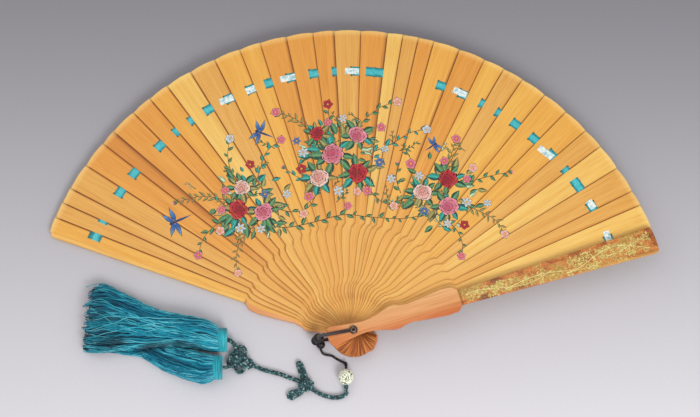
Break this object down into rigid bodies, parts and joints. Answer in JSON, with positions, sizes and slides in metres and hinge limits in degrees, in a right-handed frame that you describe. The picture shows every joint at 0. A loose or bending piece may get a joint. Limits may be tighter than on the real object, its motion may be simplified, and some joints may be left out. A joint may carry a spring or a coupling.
{
  "type": "folding fan",
  "caption": "Open folding fan of thin overlapping wooden sticks laced by a ribbon, with thicker guards, a turning bail, a carved bead, knots and silk tassels.",
  "frame": {"origin": "rivet axis at the flat rear face of the rivet and rear guard, which lies on the table", "axes": "+X to the right of the open fan, +Y up its spread from the rivet, +Z along the rivet from the rear guard to the front guard"},
  "size_m": [0.4056, 0.256, 0.023],
  "materials": {
    "stick": "thin sanded wood, unvarnished",
    "dark_stick": "thin sanded wood, unvarnished",
    "palest_stick": "thin sanded wood, unvarnished",
    "guard": "smooth rubbed wood with a painted blade",
    "bail": "dark brown, polished",
    "rivet": "dulled",
    "ribbon": "satin weave",
    "black_silk": "braided silk",
    "bead": "carved, polished",
    "teal_cord": "braided silk",
    "teal_silk": "loose silk strands"
  },
  "bodies": {
    "rear_side": {"rear_guard": "guard", "rivet": "rivet", "ribbon": "ribbon"},
    "front_side": {"front_guard": "guard"},
    "leaf_01": {"stick_01": "stick"},
    "leaf_02": {"stick_02": "dark_stick"},
    "leaf_03": {"stick_03": "palest_stick"},
    "leaf_04": {"stick_04": "stick"},
    "leaf_05": {"stick_05": "dark_stick"},
    "leaf_06": {"stick_06": "palest_stick"},
    "leaf_07": {"stick_07": "stick"},
    "leaf_08": {"stick_08": "dark_stick"},
    "leaf_09": {"stick_09": "palest_stick"},
    "leaf_10": {"stick_10": "stick"},
    "leaf_11": {"stick_11": "dark_stick"},
    "leaf_12": {"stick_12": "palest_stick"},
    "leaf_13": {"stick_13": "stick"},
    "leaf_14": {"stick_14": "dark_stick"},
    "leaf_15": {"stick_15": "palest_stick"},
    "leaf_16": {"stick_16": "stick"},
    "leaf_17": {"stick_17": "dark_stick"},
    "leaf_18": {"stick_18": "palest_stick"},
    "leaf_19": {"stick_19": "stick"},
    "leaf_20": {"stick_20": "dark_stick"},
    "leaf_21": {"stick_21": "palest_stick"},
    "leaf_22": {"stick_22": "stick"},
    "leaf_23": {"stick_23": "dark_stick"},
    "leaf_24": {"stick_24": "palest_stick"},
    "leaf_25": {"stick_25": "stick"},
    "leaf_26": {"stick_26": "dark_stick"},
    "leaf_27": {"stick_27": "palest_stick"},
    "leaf_28": {"stick_28": "stick"},
    "leaf_29": {"stick_29": "dark_stick"},
    "leaf_30": {"stick_30": "palest_stick"},
    "leaf_31": {"stick_31": "stick"},
    "leaf_32": {"stick_32": "dark_stick"},
    "leaf_33": {"stick_33": "palest_stick"},
    "bail_side": {"bail": "bail", "bail_knot": "black_silk", "hanger_cord": "black_silk", "bead": "bead", "cord_to_loop_knot": "teal_cord", "loop_knot": "teal_cord", "cord_between_knots": "teal_cord", "flower_knot": "teal_cord", "cord_to_upper_tassel": "teal_cord", "cord_to_lower_tassel": "teal_cord", "upper_tassel_cap": "teal_silk", "lower_tassel_cap": "teal_silk", "upper_tassel_skirt": "teal_silk", "lower_tassel_skirt": "teal_silk"}
  },
  "joints": [
    {"name": "fan_fold", "type": "hinge", "parent": "rear_side", "child": "front_side", "pos_m": [0, 0, 0], "axis": [0, 0, 1], "range_deg": [0, 142.5], "deforming": ["ribbon"]},
    {"name": "stick_01_turn", "type": "hinge", "parent": "rear_side", "child": "leaf_01", "pos_m": [0, 0, 0], "axis": [0, 0, 1], "range_deg": [0, 1.05]},
    {"name": "stick_02_turn", "type": "hinge", "parent": "rear_side", "child": "leaf_02", "pos_m": [0, 0, 0], "axis": [0, 0, 1], "range_deg": [0, 4]},
    {"name": "stick_03_turn", "type": "hinge", "parent": "rear_side", "child": "leaf_03", "pos_m": [0, 0, 0], "axis": [0, 0, 1], "range_deg": [0, 6.95]},
    {"name": "stick_04_turn", "type": "hinge", "parent": "rear_side", "child": "leaf_04", "pos_m": [0, 0, 0], "axis": [0, 0, 1], "range_deg": [0, 9.9]},
    {"name": "stick_05_turn", "type": "hinge", "parent": "rear_side", "child": "leaf_05", "pos_m": [0, 0, 0], "axis": [0, 0, 1], "range_deg": [0, 14.95]},
    {"name": "stick_06_turn", "type": "hinge", "parent": "rear_side", "child": "leaf_06", "pos_m": [0, 0, 0], "axis": [0, 0, 1], "range_deg": [0, 20]},
    {"name": "stick_07_turn", "type": "hinge", "parent": "rear_side", "child": "leaf_07", "pos_m": [0, 0, 0], "axis": [0, 0, 1], "range_deg": [0, 22.95]},
    {"name": "stick_08_turn", "type": "hinge", "parent": "rear_side", "child": "leaf_08", "pos_m": [0, 0, 0], "axis": [0, 0, 1], "range_deg": [0, 28]},
    {"name": "stick_09_turn", "type": "hinge", "parent": "rear_side", "child": "leaf_09", "pos_m": [0, 0, 0], "axis": [0, 0, 1], "range_deg": [0, 32]},
    {"name": "stick_10_turn", "type": "hinge", "parent": "rear_side", "child": "leaf_10", "pos_m": [0, 0, 0], "axis": [0, 0, 1], "range_deg": [0, 36]},
    {"name": "stick_11_turn", "type": "hinge", "parent": "rear_side", "child": "leaf_11", "pos_m": [0, 0, 0], "axis": [0, 0, 1], "range_deg": [0, 41.05]},
    {"name": "stick_12_turn", "type": "hinge", "parent": "rear_side", "child": "leaf_12", "pos_m": [0, 0, 0], "axis": [0, 0, 1], "range_deg": [0, 46.1]},
    {"name": "stick_13_turn", "type": "hinge", "parent": "rear_side", "child": "leaf_13", "pos_m": [0, 0, 0], "axis": [0, 0, 1], "range_deg": [0, 51.15]},
    {"name": "stick_14_turn", "type": "hinge", "parent": "rear_side", "child": "leaf_14", "pos_m": [0, 0, 0], "axis": [0, 0, 1], "range_deg": [0, 55.15]},
    {"name": "stick_15_turn", "type": "hinge", "parent": "rear_side", "child": "leaf_15", "pos_m": [0, 0, 0], "axis": [0, 0, 1], "range_deg": [0, 60.2]},
    {"name": "stick_16_turn", "type": "hinge", "parent": "rear_side", "child": "leaf_16", "pos_m": [0, 0, 0], "axis": [0, 0, 1], "range_deg": [0, 65.25]},
    {"name": "stick_17_turn", "type": "hinge", "parent": "rear_side", "child": "leaf_17", "pos_m": [0, 0, 0], "axis": [0, 0, 1], "range_deg": [0, 69.25]},
    {"name": "stick_18_turn", "type": "hinge", "parent": "rear_side", "child": "leaf_18", "pos_m": [0, 0, 0], "axis": [0, 0, 1], "range_deg": [0, 74.3]},
    {"name": "stick_19_turn", "type": "hinge", "parent": "rear_side", "child": "leaf_19", "pos_m": [0, 0, 0], "axis": [0, 0, 1], "range_deg": [0, 79.35]},
    {"name": "stick_20_turn", "type": "hinge", "parent": "rear_side", "child": "leaf_20", "pos_m": [0, 0, 0], "axis": [0, 0, 1], "range_deg": [0, 82.3]},
    {"name": "stick_21_turn", "type": "hinge", "parent": "rear_side", "child": "leaf_21", "pos_m": [0, 0, 0], "axis": [0, 0, 1], "range_deg": [0, 85.25]},
    {"name": "stick_22_turn", "type": "hinge", "parent": "rear_side", "child": "leaf_22", "pos_m": [0, 0, 0], "axis": [0, 0, 1], "range_deg": [0, 88.2]},
    {"name": "stick_23_turn", "type": "hinge", "parent": "rear_side", "child": "leaf_23", "pos_m": [0, 0, 0], "axis": [0, 0, 1], "range_deg": [0, 93.25]},
    {"name": "stick_24_turn", "type": "hinge", "parent": "rear_side", "child": "leaf_24", "pos_m": [0, 0, 0], "axis": [0, 0, 1], "range_deg": [0, 98.3]},
    {"name": "stick_25_turn", "type": "hinge", "parent": "rear_side", "child": "leaf_25", "pos_m": [0, 0, 0], "axis": [0, 0, 1], "range_deg": [0, 102.3]},
    {"name": "stick_26_turn", "type": "hinge", "parent": "rear_side", "child": "leaf_26", "pos_m": [0, 0, 0], "axis": [0, 0, 1], "range_deg": [0, 106.3]},
    {"name": "stick_27_turn", "type": "hinge", "parent": "rear_side", "child": "leaf_27", "pos_m": [0, 0, 0], "axis": [0, 0, 1], "range_deg": [0, 111.35]},
    {"name": "stick_28_turn", "type": "hinge", "parent": "rear_side", "child": "leaf_28", "pos_m": [0, 0, 0], "axis": [0, 0, 1], "range_deg": [0, 116.4]},
    {"name": "stick_29_turn", "type": "hinge", "parent": "rear_side", "child": "leaf_29", "pos_m": [0, 0, 0], "axis": [0, 0, 1], "range_deg": [0, 121.45]},
    {"name": "stick_30_turn", "type": "hinge", "parent": "rear_side", "child": "leaf_30", "pos_m": [0, 0, 0], "axis": [0, 0, 1], "range_deg": [0, 125.45]},
    {"name": "stick_31_turn", "type": "hinge", "parent": "rear_side", "child": "leaf_31", "pos_m": [0, 0, 0], "axis": [0, 0, 1], "range_deg": [0, 130.5]},
    {"name": "stick_32_turn", "type": "hinge", "parent": "rear_side", "child": "leaf_32", "pos_m": [0, 0, 0], "axis": [0, 0, 1], "range_deg": [0, 135.55]},
    {"name": "stick_33_turn", "type": "hinge", "parent": "rear_side", "child": "leaf_33", "pos_m": [0, 0, 0], "axis": [0, 0, 1], "range_deg": [0, 138.5]},
    {"name": "bail_swing", "type": "hinge", "parent": "rear_side", "child": "bail_side", "pos_m": [0, 0, 0], "axis": [0, 0, 1], "range_deg": [-3, 150]}
  ],
  "couplings": [
    {"joint": "stick_01_turn", "follows": "fan_fold", "ratio": 0.007368},
    {"joint": "stick_02_turn", "follows": "fan_fold", "ratio": 0.02807},
    {"joint": "stick_03_turn", "follows": "fan_fold", "ratio": 0.048772},
    {"joint": "stick_04_turn", "follows": "fan_fold", "ratio": 0.069474},
    {"joint": "stick_05_turn", "follows": "fan_fold", "ratio": 0.10491},
    {"joint": "stick_06_turn", "follows": "fan_fold", "ratio": 0.14035},
    {"joint": "stick_07_turn", "follows": "fan_fold", "ratio": 0.16105},
    {"joint": "stick_08_turn", "follows": "fan_fold", "ratio": 0.19649},
    {"joint": "stick_09_turn", "follows": "fan_fold", "ratio": 0.22456},
    {"joint": "stick_10_turn", "follows": "fan_fold", "ratio": 0.25263},
    {"joint": "stick_11_turn", "follows": "fan_fold", "ratio": 0.28807},
    {"joint": "stick_12_turn", "follows": "fan_fold", "ratio": 0.32351},
    {"joint": "stick_13_turn", "follows": "fan_fold", "ratio": 0.35895},
    {"joint": "stick_14_turn", "follows": "fan_fold", "ratio": 0.38702},
    {"joint": "stick_15_turn", "follows": "fan_fold", "ratio": 0.42246},
    {"joint": "stick_16_turn", "follows": "fan_fold", "ratio": 0.45789},
    {"joint": "stick_17_turn", "follows": "fan_fold", "ratio": 0.48596},
    {"joint": "stick_18_turn", "follows": "fan_fold", "ratio": 0.5214},
    {"joint": "stick_19_turn", "follows": "fan_fold", "ratio": 0.55684},
    {"joint": "stick_20_turn", "follows": "fan_fold", "ratio": 0.57754},
    {"joint": "stick_21_turn", "follows": "fan_fold", "ratio": 0.59825},
    {"joint": "stick_22_turn", "follows": "fan_fold", "ratio": 0.61895},
    {"joint": "stick_23_turn", "follows": "fan_fold", "ratio": 0.65439},
    {"joint": "stick_24_turn", "follows": "fan_fold", "ratio": 0.68983},
    {"joint": "stick_25_turn", "follows": "fan_fold", "ratio": 0.71789},
    {"joint": "stick_26_turn", "follows": "fan_fold", "ratio": 0.74596},
    {"joint": "stick_27_turn", "follows": "fan_fold", "ratio": 0.7814},
    {"joint": "stick_28_turn", "follows": "fan_fold", "ratio": 0.81684},
    {"joint": "stick_29_turn", "follows": "fan_fold", "ratio": 0.85228},
    {"joint": "stick_30_turn", "follows": "fan_fold", "ratio": 0.88035},
    {"joint": "stick_31_turn", "follows": "fan_fold", "ratio": 0.91579},
    {"joint": "stick_32_turn", "follows": "fan_fold", "ratio": 0.95123},
    {"joint": "stick_33_turn", "follows": "fan_fold", "ratio": 0.97193}
  ]
}
